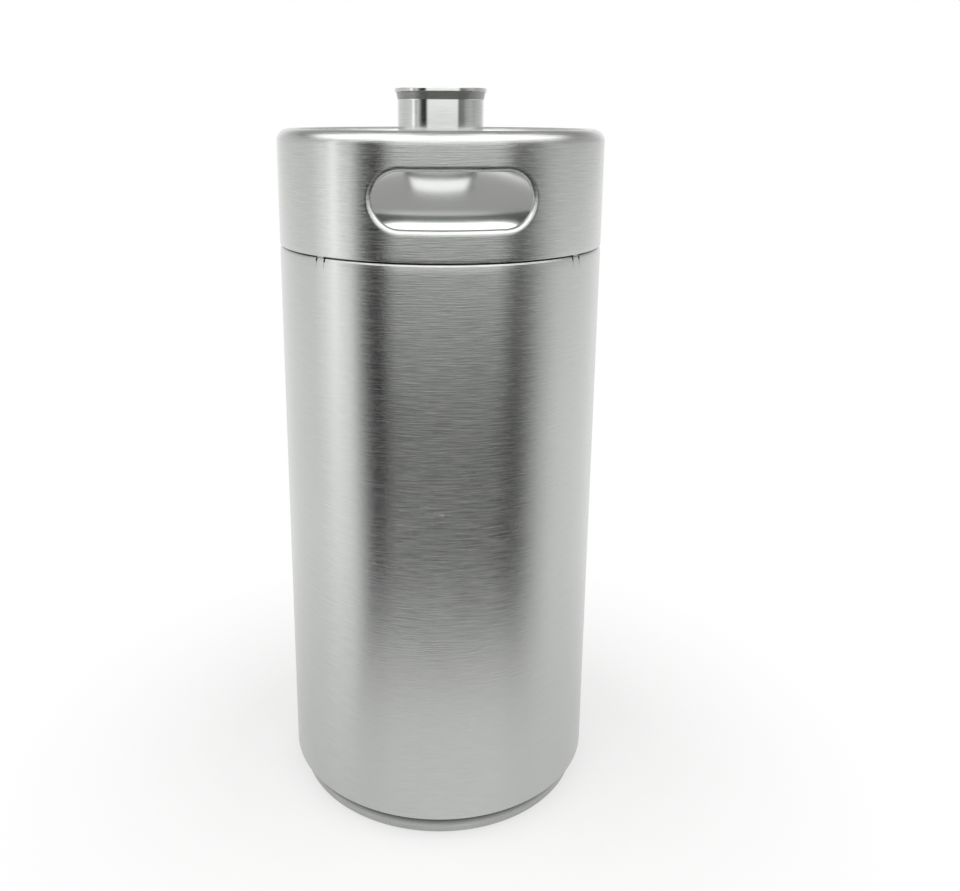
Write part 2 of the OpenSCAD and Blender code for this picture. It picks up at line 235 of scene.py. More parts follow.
class Nodes:
    """Short calls for building the nodes of a material or of the world."""

    def __init__(self, owner):
        owner.use_nodes = True
        self.tree = owner.node_tree
        self.tree.nodes.clear()

    def feed(self, socket, value):
        """Links another node's output to a socket, or sets it to a colour, a number or a vector."""
        if isinstance(value, bpy.types.NodeSocket):
            self.tree.links.new(value, socket)
        elif socket.type == "RGBA":
            socket.default_value = (*value, 1.0)
        else:
            socket.default_value = value

    def add(self, kind, inputs=None, **settings):
        """A new node. inputs says what its sockets get, by their names or numbers."""
        node = self.tree.nodes.new(kind)
        for key, value in settings.items():
            setattr(node, key, value)
        for key, value in (inputs or {}).items():
            self.feed(node.inputs[key], value)
        return node

    def math(self, operation, *values):
        return self.add("ShaderNodeMath", dict(enumerate(values)), operation=operation).outputs[0]

    def split(self, vector):
        """The X, Y and Z of a vector."""
        return self.add("ShaderNodeSeparateXYZ", {0: vector}).outputs

    def joined(self, x, y, z):
        return self.add("ShaderNodeCombineXYZ", {0: x, 1: y, 2: z}).outputs[0]

    def angle(self, x, y):
        """Angle round the axis in radians, 0 at -Y and growing towards +X."""
        return self.math("ARCTAN2", x, self.math("MULTIPLY", y, -1.0))

    def noise(self, vector, scale, detail, rough, distort=0.0):
        inputs = {"Vector": vector, "Scale": scale, "Detail": detail, "Roughness": rough,
                  "Distortion": distort}
        return self.add("ShaderNodeTexNoise", inputs).outputs[0]

    def remap(self, value, from_low, from_high, to_low, to_high):
        """A number moved from one range to another, and kept inside the second."""
        inputs = {"Value": value, "From Min": from_low, "From Max": from_high, "To Min": to_low,
                  "To Max": to_high}
        return self.add("ShaderNodeMapRange", inputs).outputs[0]

    def between(self, noise, low, high, edge=0.3):
        """A noise, whose values lie mostly from edge to 1 - edge, spread from low to high."""
        return self.remap(noise, edge, 1 - edge, low, high)

    def ramp(self, value, *stops):
        """Colours along a number, from stops of (place, colour)."""
        node = self.add("ShaderNodeValToRGB", {0: value})
        elements = node.color_ramp.elements
        while len(elements) > 1:
            elements.remove(elements[-1])
        for i, (place, colour) in enumerate(stops):
            element = elements[0] if i == 0 else elements.new(place)
            element.position = place
            element.color = (*colour, 1.0)
        return node.outputs[0]

    def mix(self, factor, a, b, kind="MIX"):
        """Two colours blended; they are sockets 6 and 7 of a mix node, and the result is output 2."""
        inputs = {0: factor, 6: a, 7: b}
        return self.add("ShaderNodeMix", inputs, data_type="RGBA", blend_type=kind).outputs[2]

    def rays(self):
        """Two numbers: 1 for a camera ray, and 1 for a ray mirrored or let through by a piece."""
        path = self.add("ShaderNodeLightPath").outputs
        mirrored = self.math("MAXIMUM", path["Is Glossy Ray"], path["Is Transmission Ray"])
        return path["Is Camera Ray"], mirrored


class Surface(Nodes):
    """The nodes of a new material: its shader, its output and the place on the growler in metres."""

    def __init__(self, name, shader="ShaderNodeBsdfPrincipled"):
        self.material = bpy.data.materials.new(name)
        super().__init__(self.material)
        self.shader = self.add(shader)
        self.add("ShaderNodeOutputMaterial", {"Surface": self.shader.outputs[0]})
        self.coord = self.add("ShaderNodeTexCoord").outputs["Object"]

    def scaled(self, scale):
        return self.add("ShaderNodeMapping", {"Vector": self.coord, "Scale": scale}).outputs[0]

    def radius(self):
        """Distance from the growler's axis, and height."""
        x, y, z = self.split(self.coord)
        squares = self.math("ADD", self.math("MULTIPLY", x, x), self.math("MULTIPLY", y, y))
        return self.math("SQRT", squares), z

    def bump(self, height, strength, distance, normal=None):
        """A surface made uneven, on top of another unevenness if normal gives one."""
        inputs = {"Strength": strength, "Distance": distance, "Height": height}
        if normal is not None:
            inputs["Normal"] = normal
        return self.add("ShaderNodeBump", inputs).outputs[0]

    def finished(self, inputs):
        """The material, once its shader's sockets have what inputs says."""
        for key, value in inputs.items():
            self.feed(self.shader.inputs[key], value)
        return self.material


# Unevenness of all the steel: cloudy tone and roughness, and a slow swell, its height in metres
CLOUD_SCALE, CLOUD_TONE, CLOUD_ROUGH = 14.0, 0.10, 0.01
SWELL_SCALE, SWELL_STRENGTH, SWELL_HEIGHT = 16.0, 0.08, 0.0010
# For each lay of the strokes, how broken up they are and their height in metres
LAYS = {"level": (0.6, 0.00002), "turned": (0.6, 0.00002), "wrapped": (0.72, 0.00012)}
# This turn of the tangent, which runs round the axis, spreads highlights across the strokes
QUARTER_TURN = 0.25


def stroke_place(n, lay, along, across):
    """Where the strokes' noise is read, with its frequencies along and across them. Level strokes
    lie flat in X and Y, wrapped ones run round the wall, and turned ones run round the axis on a
    face seen from above as well as on a wall."""
    if lay == "turned":
        r, z = n.radius()
        rings = n.joined(n.math("MULTIPLY", r, across), n.math("MULTIPLY", z, across), 0.0)
        inputs = {0: rings, 1: n.scaled((along, along, 0.0))}
        return n.add("ShaderNodeVectorMath", inputs, operation="ADD").outputs[0]
    if lay == "wrapped":
        x, y, z = n.split(n.coord)
        way_round = n.math("MULTIPLY", n.angle(x, y), BODY_R * MM)
        return n.joined(n.math("MULTIPLY", way_round, along), n.math("MULTIPLY", z, across), 0.0)
    return n.scaled((along, along, across))


def steel(name, tones, rough, strokes, grain, depth, lay="level", aniso=0.0, spread=0.05, metal=1.0,
          green=0.01, painted_shade_band=None):
    """Bare stainless steel with fine strokes. tones are its darkest and lightest grey, strokes the
    frequencies along and across them; grain is how far they change the grey, spread how far they
    change the roughness, and depth how strongly they stand out. metal under 1 mixes in a matt
    grey, and green tints it. painted_shade_band = (r or z, start, end, left) is painted shade: it
    darkens the grey from one radius or height, in metres, to another, until only left remains."""
    n = Surface(name)
    inputs = {"Metallic": metal}
    if aniso:
        tangent = n.add("ShaderNodeTangent", direction_type="RADIAL", axis="Z").outputs[0]
        inputs |= {"Anisotropic": aniso, "Anisotropic Rotation": QUARTER_TURN, "Tangent": tangent}
    broken, height = LAYS[lay]
    lines = n.noise(stroke_place(n, lay, *strokes), 1.0, 3.0, broken)
    cloud = n.noise(n.coord, CLOUD_SCALE, 2.0, 0.5)
    tone = n.math("ADD", n.between(lines, 0.5 - 4 * grain, 0.5 + 4 * grain),
                  n.between(cloud, -CLOUD_TONE, CLOUD_TONE))
    dark, light = [(v, v + green, v) for v in tones]
    inputs["Base Color"] = n.ramp(tone, (0.0, dark), (1.0, light))
    # painted shade: where shade falls, the grey darkens from one radius or height to another
    if painted_shade_band:
        way, start, end, left = painted_shade_band
        r, z = n.radius()
        painted_shade_mask = n.remap({"r": r, "z": z}[way], start, end, 0.0, 1.0)
        inputs["Base Color"] = n.mix(painted_shade_mask, inputs["Base Color"], (left, left, 0.95 * left))
    inputs["Roughness"] = n.math("ADD", n.between(lines, rough - spread, rough + spread, 0.25),
                                 n.between(cloud, -CLOUD_ROUGH, CLOUD_ROUGH))
    swell = n.bump(n.noise(n.coord, SWELL_SCALE, 0.0, 0.5), SWELL_STRENGTH, SWELL_HEIGHT)
    inputs["Normal"] = n.bump(lines, depth, height, swell)
    return n.finished(inputs)


shell_steel = steel("brushed_shell_steel", (0.43, 0.56), 0.22, (80.0, 2300.0), grain=0.06, depth=0.47,
                    lay="wrapped", aniso=0.95, spread=0.058)
collar_steel = steel("brushed_collar_steel", (0.43, 0.57), 0.215, (80.0, 2200.0), grain=0.07, depth=0.52,
                     lay="wrapped", aniso=0.93, spread=0.07)
# rough mill finish on the inner faces, its grey set lighter than the outside's as painted light in their
# shade
inner_painted_light_steel = steel("mill_inner_painted_light_steel", (0.60, 0.72), 0.42, (140.0, 1100.0), grain=0.06, depth=0.15)
# painted light: a lighter, mostly matt copy of the steel brightens the shaded hollow inside the rolled rim
curl_painted_light_steel = steel("curl_inside_painted_light_steel", (0.74, 0.84), 0.55, (140.0, 900.0), grain=0.06, depth=0.15,
                   metal=0.25)
# painted shade: the head's grey darkens near its skirt, which lies in shade behind the slit between tube and
# collar
dome_steel = steel("polished_head_steel", (0.57, 0.65), 0.22, (60.0, 2600.0), grain=0.03, depth=0.04,
                   lay="turned", aniso=0.2, spread=0.025, painted_shade_band=("r", 0.0674, 0.0680, 0.03))
base_steel = steel("pressed_base_steel", (0.46, 0.60), 0.27, (70.0, 1800.0), grain=0.06, depth=0.12,
                   lay="turned", aniso=0.4)
# painted shade: the foot ring darkens towards its top, in the shade under the tube's overhanging edge
foot_steel = steel("satin_foot_steel", (0.34, 0.48), 0.27, (80.0, 2600.0), grain=0.08, depth=0.12,
                   aniso=0.6, painted_shade_band=("z", 0.0040, 0.0068, 0.04))
cap_steel = steel("turned_cap_steel", (0.54, 0.68), 0.10, (110.0, 4600.0), grain=0.10, depth=0.06,
                  lay="turned", aniso=0.4, spread=0.025)
# painted shade: a darker copy of the cap's steel for the cone in shade under the rim
flare_painted_shade_steel = steel("undercut_cap_painted_shade_steel", (0.20, 0.30), 0.30, (110.0, 4600.0), grain=0.10, depth=0.06,
                    lay="turned", aniso=0.4, green=0.005)
# satin finish, with a lighter, partly matt grey as painted light on the neck in shade under the cap
neck_painted_light_steel = steel("satin_neck_painted_light_steel", (0.72, 0.82), 0.36, (150.0, 5000.0), grain=0.08, depth=0.2,
                   lay="turned", aniso=0.4, metal=0.6)


def weld_metal():
    """Pickled weld bead: uneven grey, with a faint straw tint in patches."""
    n = Surface("weld_bead_steel")
    grit = n.noise(n.coord, 900.0, 4.0, 0.6)
    patch = n.noise(n.coord, 160.0, 3.0, 0.6, 0.6)
    tone = n.math("ADD", n.between(grit, 0.2, 0.6), n.between(patch, 0.0, 0.4, 0.35))
    colour = n.ramp(tone, (0.0, (0.24, 0.23, 0.22)), (0.55, (0.46, 0.45, 0.42)), (1.0, (0.60, 0.59, 0.56)))
    return n.finished({"Metallic": 1.0, "Base Color": colour,
                       "Roughness": n.between(grit, 0.32, 0.55, 0.2),
                       "Normal": n.bump(grit, 0.35, 0.00012)})


def silicone_rubber():
    """Translucent white silicone with a faint moulding texture and dust."""
    n = Surface("silicone_rubber")
    cloud = n.noise(n.coord, 260.0, 4.0, 0.6)
    dust = n.noise(n.coord, 2400.0, 3.0, 0.7)
    tone = n.math("ADD", n.between(cloud, 0.2, 0.8), n.remap(dust, 0.55, 0.8, 0.0, -0.5))
    return n.finished({"Base Color": n.ramp(tone, (0.0, (0.70, 0.69, 0.65)), (1.0, (0.87, 0.87, 0.84))),
                       "Subsurface Weight": 0.35, "Subsurface Radius": (0.0020, 0.0018, 0.0015),
                       "Subsurface Scale": 1.0, "Roughness": n.between(dust, 0.38, 0.58, 0.2),
                       "Normal": n.bump(dust, 0.12, 0.00004)})


weld_steel = weld_metal()
silicone = silicone_rubber()

# Camera, fitted to the photo

# Its turn round the growler, its distance and height in metres, and its tilts in radians
CAM_AZ = math.radians(-4.3)
CAM_BACK, CAM_HIGH, CAM_PITCH, CAM_ROLL = 0.42109, 0.30225, 0.2473, 0.0031
# In the photo's pixels: its focal length, the middle of its view and the photo's size
FOCAL_PX, AXIS_X, AXIS_Y, WIDTH, HEIGHT = 964.87, 439.935, 359.197, 960.0, 891.0
# Width of its sensor in millimetres
SENSOR = 36.0


def make_camera():
    """It stands on the -Y side and looks along +Y, tilted down, until CAM_AZ turns it round."""
    data = bpy.data.cameras.new("photo_camera")
    cam = bpy.data.objects.new("photo_camera", data)
    bpy.context.scene.collection.objects.link(cam)
    data.sensor_fit = "HORIZONTAL"
    data.sensor_width = SENSOR
    data.lens = FOCAL_PX * SENSOR / WIDTH
    data.shift_x = (WIDTH / 2 - AXIS_X) / WIDTH
    data.shift_y = -(HEIGHT / 2 - AXIS_Y) / WIDTH
    data.clip_start, data.clip_end = 0.01, 50.0
    ahead = Vector((0, math.cos(CAM_PITCH), -math.sin(CAM_PITCH)))
    level = Vector((1, 0, 0))
    above = level.cross(ahead)
    right = math.cos(CAM_ROLL) * level + math.sin(CAM_ROLL) * above
    up = math.cos(CAM_ROLL) * above - math.sin(CAM_ROLL) * level
    pose = Matrix((
        (right.x, up.x, -ahead.x, 0),
        (right.y, up.y, -ahead.y, -CAM_BACK),
        (right.z, up.z, -ahead.z, CAM_HIGH),
        (0, 0, 0, 1),
    ))
    cam.matrix_world = Matrix.Rotation(CAM_AZ, 4, "Z") @ pose
    bpy.context.scene.camera = cam


make_camera()

# Studio, where a direction has a side and a height, each on a scale from 0 to 1

# Tint of its grey, which is a little greenish
STUDIO_TINT = (1.0, 1.004, 0.995)


def az(degrees):
    """Place on the side scale: degrees round from the camera, positive to its right."""
    return (degrees + 180.0) / 360.0


def el(degrees):
    """Place on the height scale: degrees above the horizon."""
    return (degrees + 90.0) / 180.0


def levels(n, value, place, stops):
    """Brightness along one of the two scales, from stops of (degrees, brightness)."""
    return n.ramp(value, *[(place(d), tuple(v * tint for tint in STUDIO_TINT)) for d, v in stops])


def studio_walls(n, side, high):
    """The grey side behind the camera with its two dark flags, and bright panels beside it."""
    # the upright panels stand a little closer together towards their feet
    lean = n.remap(high, el(-28), el(-9), 1.15, 1.0)
    slant = n.math("ADD", n.math("MULTIPLY", n.math("SUBTRACT", side, 0.5), lean), 0.5)
    # how much of the grey side shows, all round, and the dark flags on it
    mask = levels(n, slant, az, [(-68, 0.0), (-58, 1.0), (64, 1.0), (78, 0.5), (97, 0.0)])
    flags = levels(n, slant, az, [(-66, 1.0), (-58, 0.40), (-51, 0.06), (-40, 0.03), (-33, 1.0),
                                  (44, 1.0), (50, 0.20), (63, 0.25), (78, 0.55), (92, 0.9)])
    grey = levels(n, high, el, [(-36, 0.03), (-22, 0.035), (-15, 0.13), (-9, 0.33), (-3, 0.65),
                                (-1, 1.0), (2, 1.46), (12, 1.28), (30, 1.28)])
    front = n.mix(1.0, grey, flags, "MULTIPLY")
    # the bright panels by their height: low, level with the growler and high
    low = levels(n, slant, az, [(-150, 1.08), (-110, 1.08), (-98, 1.05), (-88, 1.12), (-78, 1.06),
                                (-70, 1.05), (80, 1.03), (130, 1.08), (150, 1.08)])
    level = levels(n, slant, az, [(-150, 1.08), (-110, 1.06), (-98, 1.10), (-90, 1.50), (-79, 1.92),
                                  (-70, 1.60), (80, 1.03), (130, 1.08), (150, 1.08)])
    upper = levels(n, side, az, [(-150, 0.90), (-110, 0.82), (-84, 0.86), (-77, 1.55), (-70, 0.60),
                                 (-64, 0.50), (80, 0.40), (100, 0.52), (130, 0.70), (150, 0.85)])
    panels = n.mix(n.remap(high, el(-24), el(-10), 0.0, 1.0), low, level)
    panels = n.mix(n.remap(high, el(-4), el(0), 0.0, 1.0), panels, upper)
    return n.mix(mask, panels, front)


def studio_ceiling(n, side, high, away):
    """A pale ceiling that is grey beyond the growler, with a broad white softbox in front."""
    ceiling = n.mix(n.remap(away, 0.0, 0.35, 0.0, 1.0), (1.1, 1.1, 1.09), (0.46, 0.46, 0.455))
    across = levels(n, side, az, [(-130, 0.0), (-110, 1.0), (100, 1.0), (125, 0.0)])
    upward = levels(n, high, el, [(28, 0.0), (36, 1.0), (74, 1.0), (82, 0.0)])
    return n.mix(n.math("MULTIPLY", upward, across), ceiling, (2.5, 2.5, 2.48))


def make_world():
    """The studio lights the growler; the camera sees plain white in its place."""
    world = bpy.data.worlds.new("studio")
    bpy.context.scene.world = world
    n = Nodes(world)
    x, y, z = n.split(n.add("ShaderNodeTexCoord").outputs["Generated"])
    turn = n.math("SUBTRACT", n.angle(x, y), CAM_AZ)
    side = n.math("DIVIDE", n.math("ADD", turn, math.pi), 2 * math.pi)
    high = n.math("DIVIDE", n.math("ADD", n.math("ARCSINE", z), math.pi / 2), math.pi)
    away = n.math("ADD", n.math("MULTIPLY", x, -math.sin(CAM_AZ)), n.math("MULTIPLY", y, math.cos(CAM_AZ)))
    overhead = levels(n, high, el, [(14, 0.0), (30, 1.0)])
    studio = n.mix(overhead, studio_walls(n, side, high), studio_ceiling(n, side, high, away))
    lit = n.add("ShaderNodeBackground", {"Color": studio})
    white = n.add("ShaderNodeBackground", {"Color": (1.0, 1.0, 1.0)})
    # metal shows the same white backdrop behind the growler as the camera does
    backdrop = n.math("MULTIPLY", n.remap(away, 0.80, 0.90, 0.0, 1.0),
                      n.remap(high, el(14), el(24), 1.0, 0.0))
    camera, mirrored = n.rays()
    plain = n.math("MAXIMUM", camera, n.math("MULTIPLY", mirrored, backdrop))
    choice = n.add("ShaderNodeMixShader", {0: plain, 1: lit.outputs[0], 2: white.outputs[0]})
    n.add("ShaderNodeOutputWorld", {"Surface": choice.outputs[0]})


make_world()

# Floor

# Its first and last ring's radius in millimetres, and its rings and spokes
FLOOR_FIRST, FLOOR_R, FLOOR_RINGS, FLOOR_SPOKES = 2.0, 235.0, 24, 96
# The share of it that glows: the least, and the radii in metres between which that grows to all
LEAST_GLOW, GLOW_FROM, GLOW_TO = 0.60, 0.10, 0.21


def make_floor():
    """A round white table top that keeps a soft shadow and fades into the white around it."""
    n = Surface("white_floor", "ShaderNodeMixShader")
    cloud = n.noise(n.coord, 30.0, 3.0, 0.5)
    tone = n.ramp(cloud, (0.0, (0.575, 0.575, 0.57)), (1.0, (0.615, 0.615, 0.61)))
    paper = n.add("ShaderNodeBsdfDiffuse", {"Color": tone})
    glow = n.add("ShaderNodeEmission", {"Color": (1.0, 1.0, 1.0), "Strength": 1.0})
    r, _ = n.radius()
    camera, mirrored = n.rays()
    share = n.math("MULTIPLY", n.remap(r, GLOW_FROM, GLOW_TO, LEAST_GLOW, 1.0),
                   n.math("MAXIMUM", camera, mirrored))
    material = n.finished({0: share, 1: paper.outputs[0], 2: glow.outputs[0]})
    spoke = [(r, 0.0) for r in np.linspace(FLOOR_FIRST, FLOOR_R, FLOOR_RINGS)]
    shape = Shape()
    shape.grid([turned_to(spoke, 2 * math.pi * i / FLOOR_SPOKES) for i in range(FLOOR_SPOKES)], close_u=True)
    middle = len(shape.verts)
    shape.verts.append((0.0, 0.0, 0.0))
    shape.faces += [(middle, FLOOR_RINGS * i, FLOOR_RINGS * ((i + 1) % FLOOR_SPOKES))
                    for i in range(FLOOR_SPOKES)]
    floor = shape.to_scene("table_top", [material])


make_floor()

# Body tube, with the relief notches beside the tack welds


def notch_spans():
    """Start and end of each relief notch, in degrees from +X, which is 90 degrees on from -Y."""
    near = math.degrees(TACK_W / 2 / BODY_R)
    far = math.degrees((TACK_W / 2 + NOTCH_W) / BODY_R)
    spans = []
    for middle in TACK_MIDDLES:
        for a, b in ((-far, -near), (near, far)):
            spans.append(((middle - 90 + a) % 360, (middle - 90 + b) % 360))
    return spans


def tube_columns():
    """Columns of points up the tube, as (degrees from +X, drop of the top edge there). A notch's
    sides are upright: two columns a hair apart. Whole degrees too close to a notch are left out."""
    clear, hair = 0.02, 1e-7
    spans = notch_spans()
    columns = [(t, 0.0) for t in range(360) if not any(a - clear < t < b + clear for a, b in spans)]
    for a, b in spans:
        columns += [(a, 0.0), (a + hair, NOTCH_D), ((a + b) / 2, NOTCH_D), (b - hair, NOTCH_D), (b, 0.0)]
    return sorted(columns)


def tube_section(drop):
    """Closed outline of the tube's wall where its top edge is lower by drop."""
    top = SEAM_Z - drop
    low_edge, gap = 0.25, 0.1
    section = arc(BODY_R - low_edge, BODY_LOW + low_edge, low_edge, -90, 0, 4)
    section += [(BODY_R, BODY_LOW + 0.6)]
    section += [(BODY_R, z) for z in (*np.linspace(BODY_LOW + 5, SEAM_Z - 10, 24), SEAM_Z - 7)]
    for u in np.linspace(0, 1, 5):
        section.append((BODY_R - DRAW_IN * u * u, top - DRAW_H + (DRAW_H - gap - EDGE) * u))
    section += arc(BODY_R - EDGE - DRAW_IN, top - EDGE, EDGE - 0.08, 0, 90, 6)
    section += [(BORE_R, top - 0.12), (BORE_R, SEAM_Z - NOTCH_D - EDGE)]
    section += [(BORE_R, z) for z in np.linspace(SEAM_Z - TOP_SKIRT, BODY_LOW + BASE_SKIRT, 12)]
    return section + [(BORE_R, BODY_LOW + gap), (BORE_R + gap, BODY_LOW)]


def body_tube():
    shape = Shape()
    shape.grid([turned_to(tube_section(drop), math.radians(t)) for t, drop in tube_columns()],
               close_u=True, close_v=True)
    mesh_piece("shell_tube", shape, "body_tube", [shell_steel, inner_painted_light_steel],
               weld=0.002, choose=sheet_side)


body_tube()

# Handle collar: wall, rolled rim and a turned lip round each slot

# A slot sits in a panel of the wall, whose sides are this many degrees from the slot's middle
PANEL = 45
TOP_STEPS, SIDE_STEPS = 2 * PANEL, 18
# The wall runs from above the rounding of the collar's lower edge to below its rolled rim
LOW_EDGE = 0.25
WALL_LOW, WALL_HIGH = COLLAR_Z + LOW_EDGE, CREST_Z - RIM_R
WALL_HEIGHTS = np.linspace(WALL_HIGH, WALL_LOW, SIDE_STEPS + 1)


def outline_stations():
    """Points round the slot's outline as (x, z, outward angle), clockwise from the top left."""
    quarter = OUTLINE_R * math.pi / 4
    run = 2 * SLOT_HALF + 2 * quarter

    def on_end(side, a):
        """A point on the left end's arc, side -1, or on the right end's, side 1."""
        x = side * SLOT_HALF + OUTLINE_R * math.cos(math.radians(a))
        return x, OUTLINE_R * math.sin(math.radians(a)), a

    def on_top(s):
        """A point after s millimetres of the upper run, which ends in the middle of each arc."""
        if s < quarter:
            return on_end(-1, 135 - 45 * s / quarter)
        if s < quarter + 2 * SLOT_HALF:
            return s - quarter - SLOT_HALF, OUTLINE_R, 90.0
        return on_end(1, 90 - 45 * (s - quarter - 2 * SLOT_HALF) / quarter)

    half = [on_top(run * i / TOP_STEPS) for i in range(TOP_STEPS)]
    half += [on_end(1, 45 - 90 * i / SIDE_STEPS) for i in range(SIDE_STEPS)]
    return half + [(-x, -z, a + 180) for x, z, a in half]


def border_stations():
    """Points round the slot's panel as (angle, z), matched one to one with the outline."""
    upper = [(-PANEL + i, WALL_HIGH) for i in range(TOP_STEPS)]
    right = [(PANEL, h) for h in WALL_HEIGHTS[:-1]]
    lower = [(PANEL - i, WALL_LOW) for i in range(TOP_STEPS)]
    left = [(-PANEL, h) for h in WALL_HEIGHTS[::-1][:-1]]
    return upper + right + lower + left


def slot_panel(r):
    """One face of the wall round a slot, from the outline out to the panel's border. The points
    lie closer together beside the lip."""
    steps, crowding = 10, 1.5
    rows = []
    for (x, z, _), (angle, height) in zip(outline_stations(), border_stations()):
        start = math.degrees(math.asin(x / r))
        row = []
        for k in range(steps + 1):
            t = (k / steps) ** crowding
            row.append(on_wall(start + (angle - start) * t, r, SLOT_Z + z + (height - SLOT_Z - z) * t))
        rows.append(row)
    return rows


def lip_profile():
    """(reach into the slot, depth from the outside) of the turned lip, outer face first."""
    soft = 0.2
    flat_end = LIP_REACH - soft - 0.1

    def bend(wide, start, deep, angles):
        """The quarter bend from the wall into the lip."""
        return [(wide * math.sin(math.radians(a)), start + deep * (1 - math.cos(math.radians(a))))
                for a in angles]

    inner = LIP_WIDE - SHEET
    profile = bend(LIP_WIDE, 0.0, LIP_R, np.linspace(0, 90, 11)) + [(LIP_WIDE, flat_end)]
    profile += arc(LIP_WIDE - soft, LIP_REACH - soft, soft, 0, 90, 3)
    profile += arc(inner + soft, LIP_REACH - soft, soft, 90, 180, 3)
    return profile + [(inner, flat_end)] + bend(inner, SHEET, LIP_R - SHEET, np.linspace(90, 0, 9))


def slot_lip():
    """The turned lip: its profile carried round the outline, and all of it wrapped on the wall."""
    rows = []
    for x, z, a in outline_stations():
        row = []
        for reach, depth in lip_profile():
            across = x - reach * math.cos(math.radians(a))
            up = z - reach * math.sin(math.radians(a))
            row.append((across, -math.sqrt((BODY_R - depth) ** 2 - across * across), SLOT_Z + up))
        rows.append(row)
    return rows


def rim_section():
    """Outline of the rolled rim: outer face, round end of the sheet and inner face. The roll
    stops a few degrees short, so that the rounded end fits in."""
    x, z, roll = BODY_R - RIM_R, CREST_Z - RIM_R, RIM_ROLL - 3
    end = math.radians(roll)
    section = arc(x, z, RIM_R, 0, roll, 34)
    for k in range(1, 6):
        a = math.pi * k / 6
        out, on = RIM_R - SHEET / 2 + SHEET / 2 * math.cos(a), 0.22 * math.sin(a)
        section.append((x + out * math.cos(end) - on * math.sin(end),
                        z + out * math.sin(end) + on * math.cos(end)))
    return section + arc(x, z, RIM_R - SHEET, roll, 0, 30)


def handle_collar():
    shape = Shape()
    for way in (1, -1):
        for rows in (slot_panel(BODY_R), slot_panel(BORE_R), slot_lip()):
            shape.grid([[(way * x, way * y, z) for x, y, z in row] for row in rows], close_u=True)
    for start in (PANEL, PANEL + 180):
        for r in (BODY_R, BORE_R):
            shape.grid([[on_wall(start + i, r, h) for h in WALL_HEIGHTS] for i in range(2 * PANEL + 1)])
    lower = arc(BODY_R - LOW_EDGE, WALL_LOW, LOW_EDGE, 0, -90, 4)
    lower += [(BORE_R + 0.08, COLLAR_Z), (BORE_R, COLLAR_Z + 0.08), (BORE_R, WALL_LOW)]
    for section in (rim_section(), lower):
        shape.grid([[on_wall(i, r, z) for r, z in section] for i in range(360)], close_u=True)
    mesh_piece("collar_shell", shape, "handle_collar",
               [collar_steel, inner_painted_light_steel, curl_painted_light_steel], weld=0.006, choose=sheet_side)


handle_collar()

# Heads and foot ring


def head_section(line, crown, knuckle, skirt, hole=0.0):
    """Closed outline of a pressed head: outer face from the skirt up, then back down the inner
    face. The knuckle starts at the height line, and skirt is the length below it."""

    def face(inset):
        a, c, k = SKIRT_R - inset, crown - inset, knuckle - inset
        centre = crown_centre(a, line, c, k)
        join = math.degrees(math.atan2(line - centre, a - k))
        points = [(a, line - skirt + 0.15), (a, line - skirt + 0.6), (a, line - 0.4)]
        points += arc(a - k, line, k, 0, join, 28)
        return points + arc(0.0, centre, c, join, 90 - math.degrees(math.asin(hole / c)), 39)[1:]

    return face(0.0) + face(HEAD_T)[::-1]


ring_piece("top_dome", head_section(TOP_LINE, TOP_CROWN, TOP_KNUCKLE, TOP_SPIGOT + TOP_SKIRT,
                                    THREAD_R + NECK_PLAY), "top_head", dome_steel)
ring_piece("bottom_dish", head_section(BASE_LINE, BASE_CROWN, BASE_KNUCKLE, BASE_SKIRT),
           "bottom_head", base_steel)


def under_base(r):
    """Height of the bottom head's underside at radius r."""
    a, c, k = SKIRT_R - HEAD_T, BASE_CROWN - HEAD_T, BASE_KNUCKLE - HEAD_T
    crown_edge = (a - k) * c / (c - k)
    if r < crown_edge:
        return crown_centre(a, BASE_LINE, c, k) + math.sqrt(c * c - r * r)
    return BASE_LINE + math.sqrt(k * k - (r - a + k) ** 2)


def foot_radius(z):
    """Outside radius of the foot ring's wall: upright, then leaning in along a soft curve."""
    start, bias = FOOT_UPRIGHT - 0.6, 0.6
    t = clamp((z - start) / (BODY_LOW - start))
    return FOOT_R - FOOT_LEAN * t * t * (1 + bias - bias * t)


def foot_ring():
    """A strip, turned in on the floor, that runs up and in to the bottom head's underside."""
    soft, short = 0.3, 0.02
    bend_r, flange_r, high_r = FOOT_R - FOOT_BEND, FOOT_R - FOOT_FLANGE + soft, FOOT_R - FOOT_LEAN
    heights = np.linspace(FOOT_BEND + 0.4, BODY_LOW, 14)

    def inside_tube(r):
        """The upright stretch at radius r, from just over the tube's edge to just under the head."""
        return [(r, z) for z in np.linspace(BODY_LOW + 0.8, under_base(r) - short, 5)]

    section = [(flange_r, 0.0), (bend_r - soft, 0.0)] + arc(bend_r, FOOT_BEND, FOOT_BEND, -90, 0, 10)
    section += [(foot_radius(z), z) for z in heights] + inside_tube(high_r)
    section += inside_tube(high_r - FOOT_T)[::-1]
    section += [(foot_radius(z) - FOOT_T, z) for z in heights[::-1]]
    section += arc(bend_r, FOOT_BEND, FOOT_BEND - FOOT_T, 0, -90, 8)
    section += [(bend_r - soft, FOOT_T), (flange_r, FOOT_T)]
    section += arc(flange_r, FOOT_T - soft, soft, 90, 180, 3)[1:] + arc(flange_r, soft, soft, 180, 270, 3)
    ring_piece("foot_hoop", section, "foot_ring", foot_steel)


foot_ring()

# Weld beads


def bead(name, section, node, steps, ripple, keep):
    """A ring bead laid in overlapping puddles. ripple is the degrees from one to the next and the
    most that each moves a point in r and in z; keep(r, z) says how much of that a point gets."""
    every, pull_r, pull_z = ripple
    uneven, steepness = 0.35, 1.6

    def shift(t, r, z):
        through = (math.degrees(t) / every + uneven * math.sin(7 * t)) % 1.0
        pull = through ** steepness * keep(r, z)
        return r + pull_r * pull, z + pull_z * pull

    ring_piece(name, section, node, weld_steel, steps, shift)


